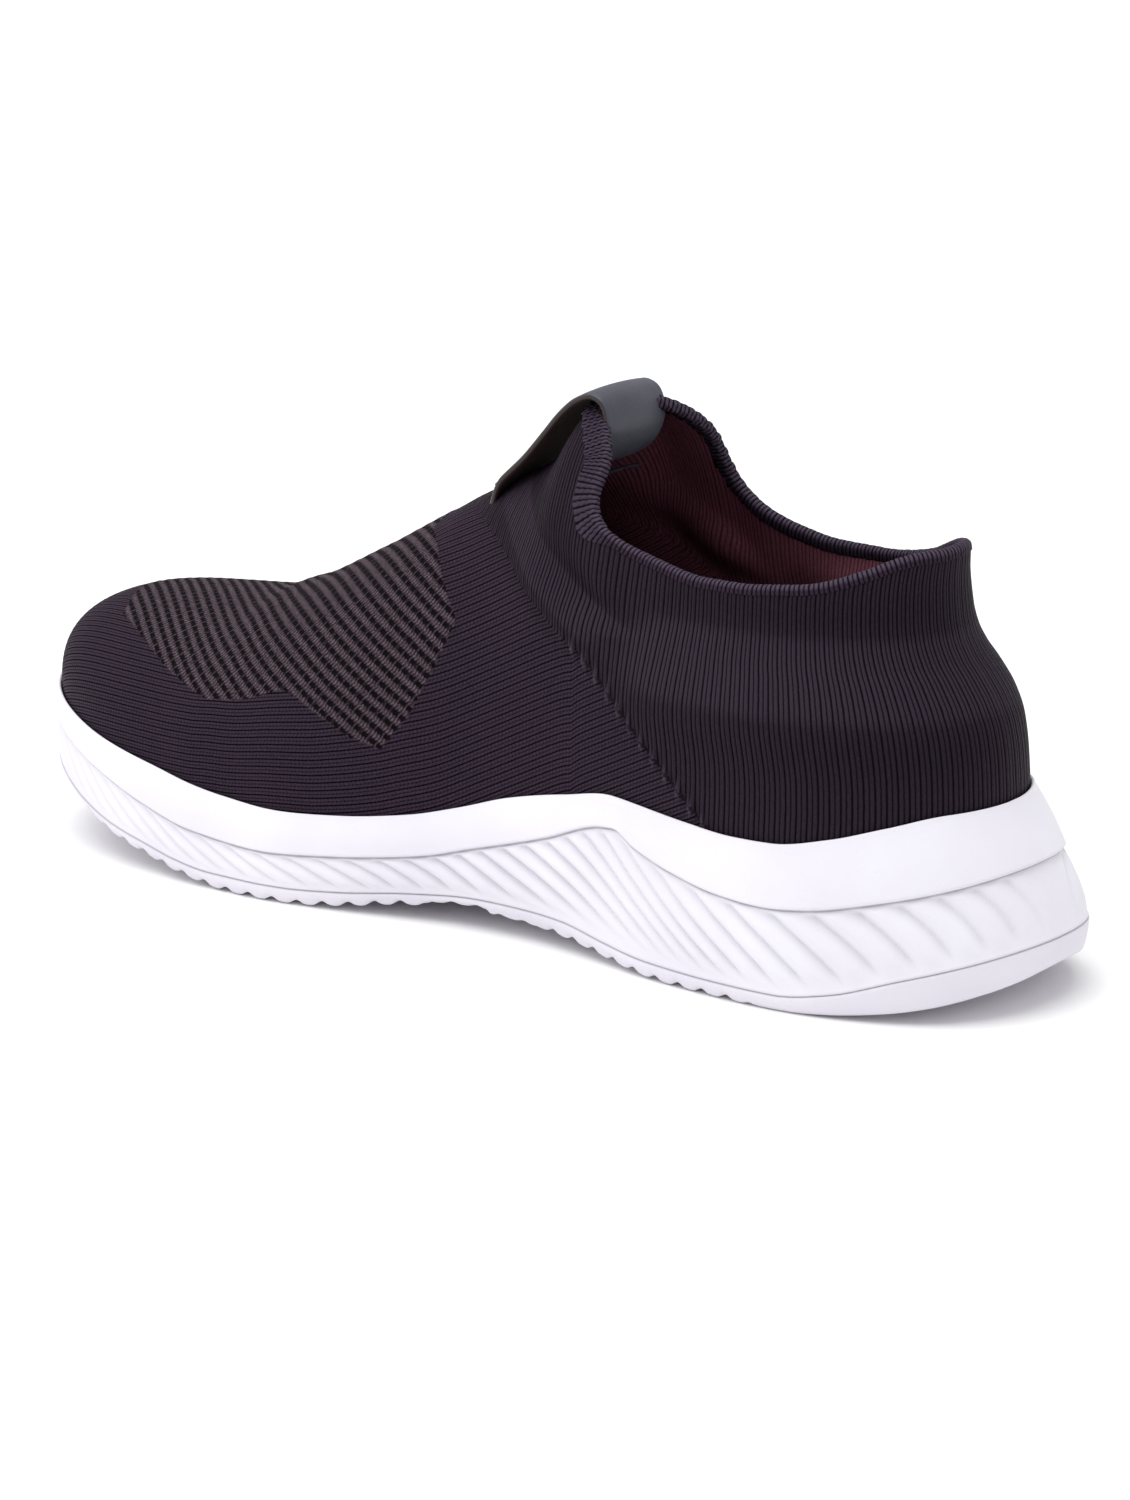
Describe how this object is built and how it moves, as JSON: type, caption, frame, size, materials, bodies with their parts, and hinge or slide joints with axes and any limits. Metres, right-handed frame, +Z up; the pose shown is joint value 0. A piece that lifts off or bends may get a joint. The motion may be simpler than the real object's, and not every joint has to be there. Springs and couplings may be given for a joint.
{
  "type": "running shoe",
  "caption": "Slip-on running shoe with a sock-like knitted upper, a pull strap over the instep and a thick fluted foam sole that bends at the ball of the foot.",
  "frame": {"origin": "middle of the footprint's bounding box, on the ground plane", "axes": "+X towards the toe, +Y towards the medial (inner) side, +Z up"},
  "size_m": [0.3018, 0.1, 0.1352],
  "materials": {
    "outsole": "moulded, matt",
    "midsole": "moulded foam, satin skin",
    "board": "non-woven",
    "thread": "spun thread",
    "thread_dark": "spun thread",
    "sockliner_foam": "open-cell foam",
    "sockliner_cover": "brushed knit",
    "knit": "engineered flat knit",
    "knit_rim": "folded rib knit",
    "lining": "soft tricot",
    "stiffener": "thermoformed sheet",
    "strap": "smooth synthetic strap"
  },
  "bodies": {
    "rearfoot": {"outsole_rearfoot": "outsole", "midsole_rearfoot": "midsole", "strobel_board_rearfoot": "board", "strobel_seam_rearfoot": "thread", "sockliner_foam_rearfoot": "sockliner_foam", "sockliner_cover_rearfoot": "sockliner_cover", "knit_upper_quarters": "knit", "knit_upper_flex_zone": "knit", "collar_rim": "knit_rim", "heel_counter": "stiffener", "heel_lining": "lining", "pull_tab_front_end": "strap", "pull_tab_rear_end": "strap", "pull_tab_stitching": "thread_dark"},
    "forefoot": {"outsole_forefoot": "outsole", "midsole_forefoot": "midsole", "strobel_board_forefoot": "board", "strobel_seam_forefoot": "thread", "sockliner_foam_forefoot": "sockliner_foam", "sockliner_cover_forefoot": "sockliner_cover", "knit_upper_toe": "knit", "toe_puff": "stiffener"},
    "pull_tab": {"pull_tab_loop": "strap"}
  },
  "joints": [
    {"name": "forefoot_flex", "type": "hinge", "parent": "rearfoot", "child": "forefoot", "pos_m": [0.04895, 0, 0.021], "axis": [0, -1, 0], "range_deg": [0, 35], "stiffness_Nm_per_rad": 6, "deforming": ["knit_upper_flex_zone"]},
    {"name": "pull_tab_lift", "type": "hinge", "parent": "rearfoot", "child": "pull_tab", "pos_m": [0.01094, 0.00175, 0.106], "axis": [0, 1, 0], "range_deg": [0, 8], "stiffness_Nm_per_rad": 0.3}
  ]
}
